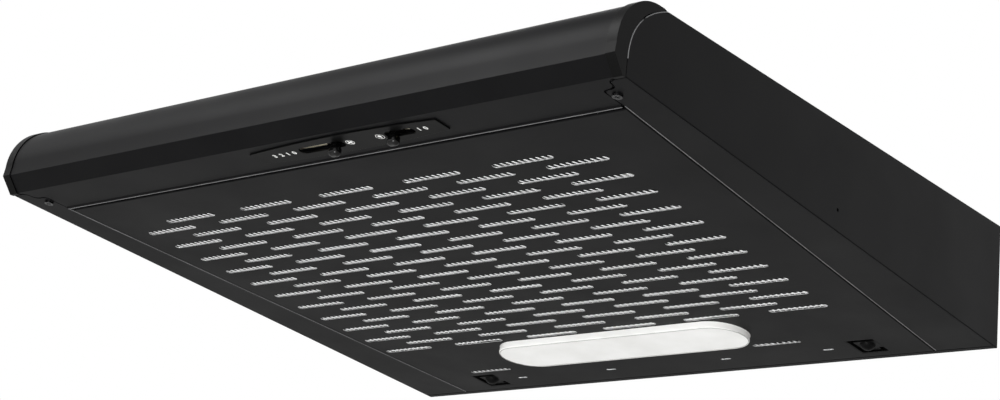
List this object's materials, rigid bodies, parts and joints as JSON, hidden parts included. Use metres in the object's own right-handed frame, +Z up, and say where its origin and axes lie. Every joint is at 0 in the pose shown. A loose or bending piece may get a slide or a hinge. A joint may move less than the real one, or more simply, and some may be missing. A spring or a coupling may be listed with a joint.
{
  "type": "under cabinet range hood",
  "caption": "Slim black under cabinet range hood with a rounded front, slotted grille door, lamp lens, slide controls and a top duct collar.",
  "frame": {"origin": "centre of the four cabinet screw holes, on the outside of the flat top", "axes": "+X to the right seen from the front, along the hood's width; -Y to the rounded front, +Y to the wall; +Z up, square to the flat top"},
  "size_m": [0.6, 0.5208, 0.1368],
  "materials": {
    "black_enamel": "satin black powder coat",
    "black_moulding": "fine-grained black moulding",
    "gloss_knob": "glossy black",
    "grey_moulding": "dark grey moulding",
    "zinc_steel": "zinc plated",
    "motor_steel": "plain pressed steel",
    "aluminium_mesh": "bright expanded mesh",
    "capacitor_can": "pale grey can",
    "rubber": "soft black rubber",
    "switch_case": "ivory moulding",
    "white_lens": "frosted white",
    "white_enamel": "gloss white",
    "lamp_socket": "white thermoset",
    "opal_glass": "opal"
  },
  "bodies": {
    "casing": {"top_panel": "black_enamel", "rear_panel": "black_enamel", "rear_lip": "black_enamel", "left_side_panel": "black_enamel", "right_side_panel": "black_enamel", "front_panel": "black_enamel", "left_end_cap": "black_moulding", "right_end_cap": "black_moulding", "rim_screws": "zinc_steel", "control_bezel": "black_moulding", "fan_switch": "switch_case", "lamp_switch": "switch_case", "left_hinge_bracket": "zinc_steel", "right_hinge_bracket": "zinc_steel", "blower_housing": "grey_moulding", "housing_screws": "zinc_steel", "inlet_ring": "grey_moulding", "motor": "motor_steel", "motor_bracket": "zinc_steel", "motor_bushes": "rubber", "bracket_screws": "zinc_steel", "outlet_duct": "grey_moulding", "duct_collar": "grey_moulding", "collar_screws": "zinc_steel", "terminal_box": "grey_moulding", "terminal_box_lid": "grey_moulding", "terminal_block": "switch_case", "capacitor": "capacitor_can", "capacitor_bracket": "zinc_steel", "cable_gland": "black_moulding", "lamp_reflector": "white_enamel", "lamp_holder": "lamp_socket", "lamp_bulb": "opal_glass"},
    "door": {"grille_panel": "black_enamel", "mesh_filter": "aluminium_mesh", "filter_wires": "zinc_steel", "lamp_lens": "white_lens", "hinge_pins": "zinc_steel", "left_latch_tray": "black_moulding", "right_latch_tray": "black_moulding"},
    "left_latch_body": {"left_latch": "black_moulding"},
    "right_latch_body": {"right_latch": "black_moulding"},
    "fan_knob": {"fan_slider": "gloss_knob"},
    "lamp_knob": {"lamp_slider": "gloss_knob"},
    "wheel": {"impeller": "grey_moulding", "motor_shaft": "zinc_steel"},
    "left_flap_body": {"left_flap": "grey_moulding"},
    "right_flap_body": {"right_flap": "grey_moulding"}
  },
  "joints": [
    {"name": "grille_hinge", "type": "hinge", "parent": "casing", "child": "door", "pos_m": [0, -0.19946, -0.05868], "axis": [-1, 0, 0], "range_deg": [0, 85]},
    {"name": "left_latch_slide", "type": "slide", "parent": "door", "child": "left_latch_body", "axis": [0, -0.9965, 0.0837], "range_m": [0, 0.004], "stiffness_N_per_m": 400, "springref_m": -0.003},
    {"name": "right_latch_slide", "type": "slide", "parent": "door", "child": "right_latch_body", "axis": [0, -0.9965, 0.0837], "range_m": [0, 0.004], "stiffness_N_per_m": 400, "springref_m": -0.003},
    {"name": "fan_slide", "type": "slide", "parent": "casing", "child": "fan_knob", "axis": [-1, 0, 0], "range_m": [0, 0.027]},
    {"name": "lamp_slide", "type": "slide", "parent": "casing", "child": "lamp_knob", "axis": [1, 0, 0], "range_m": [0, 0.012]},
    {"name": "wheel_spin", "type": "hinge", "parent": "casing", "child": "wheel", "pos_m": [-0.1, -0.012, -0.03], "axis": [0, 0, 1], "continuous": true},
    {"name": "left_flap_hinge", "type": "hinge", "parent": "casing", "child": "left_flap_body", "pos_m": [-0.003, 0.15, 0.014], "axis": [0, 1, 0], "range_deg": [0, 75]},
    {"name": "right_flap_hinge", "type": "hinge", "parent": "casing", "child": "right_flap_body", "pos_m": [0.003, 0.15, 0.014], "axis": [0, -1, 0], "range_deg": [0, 75]}
  ]
}
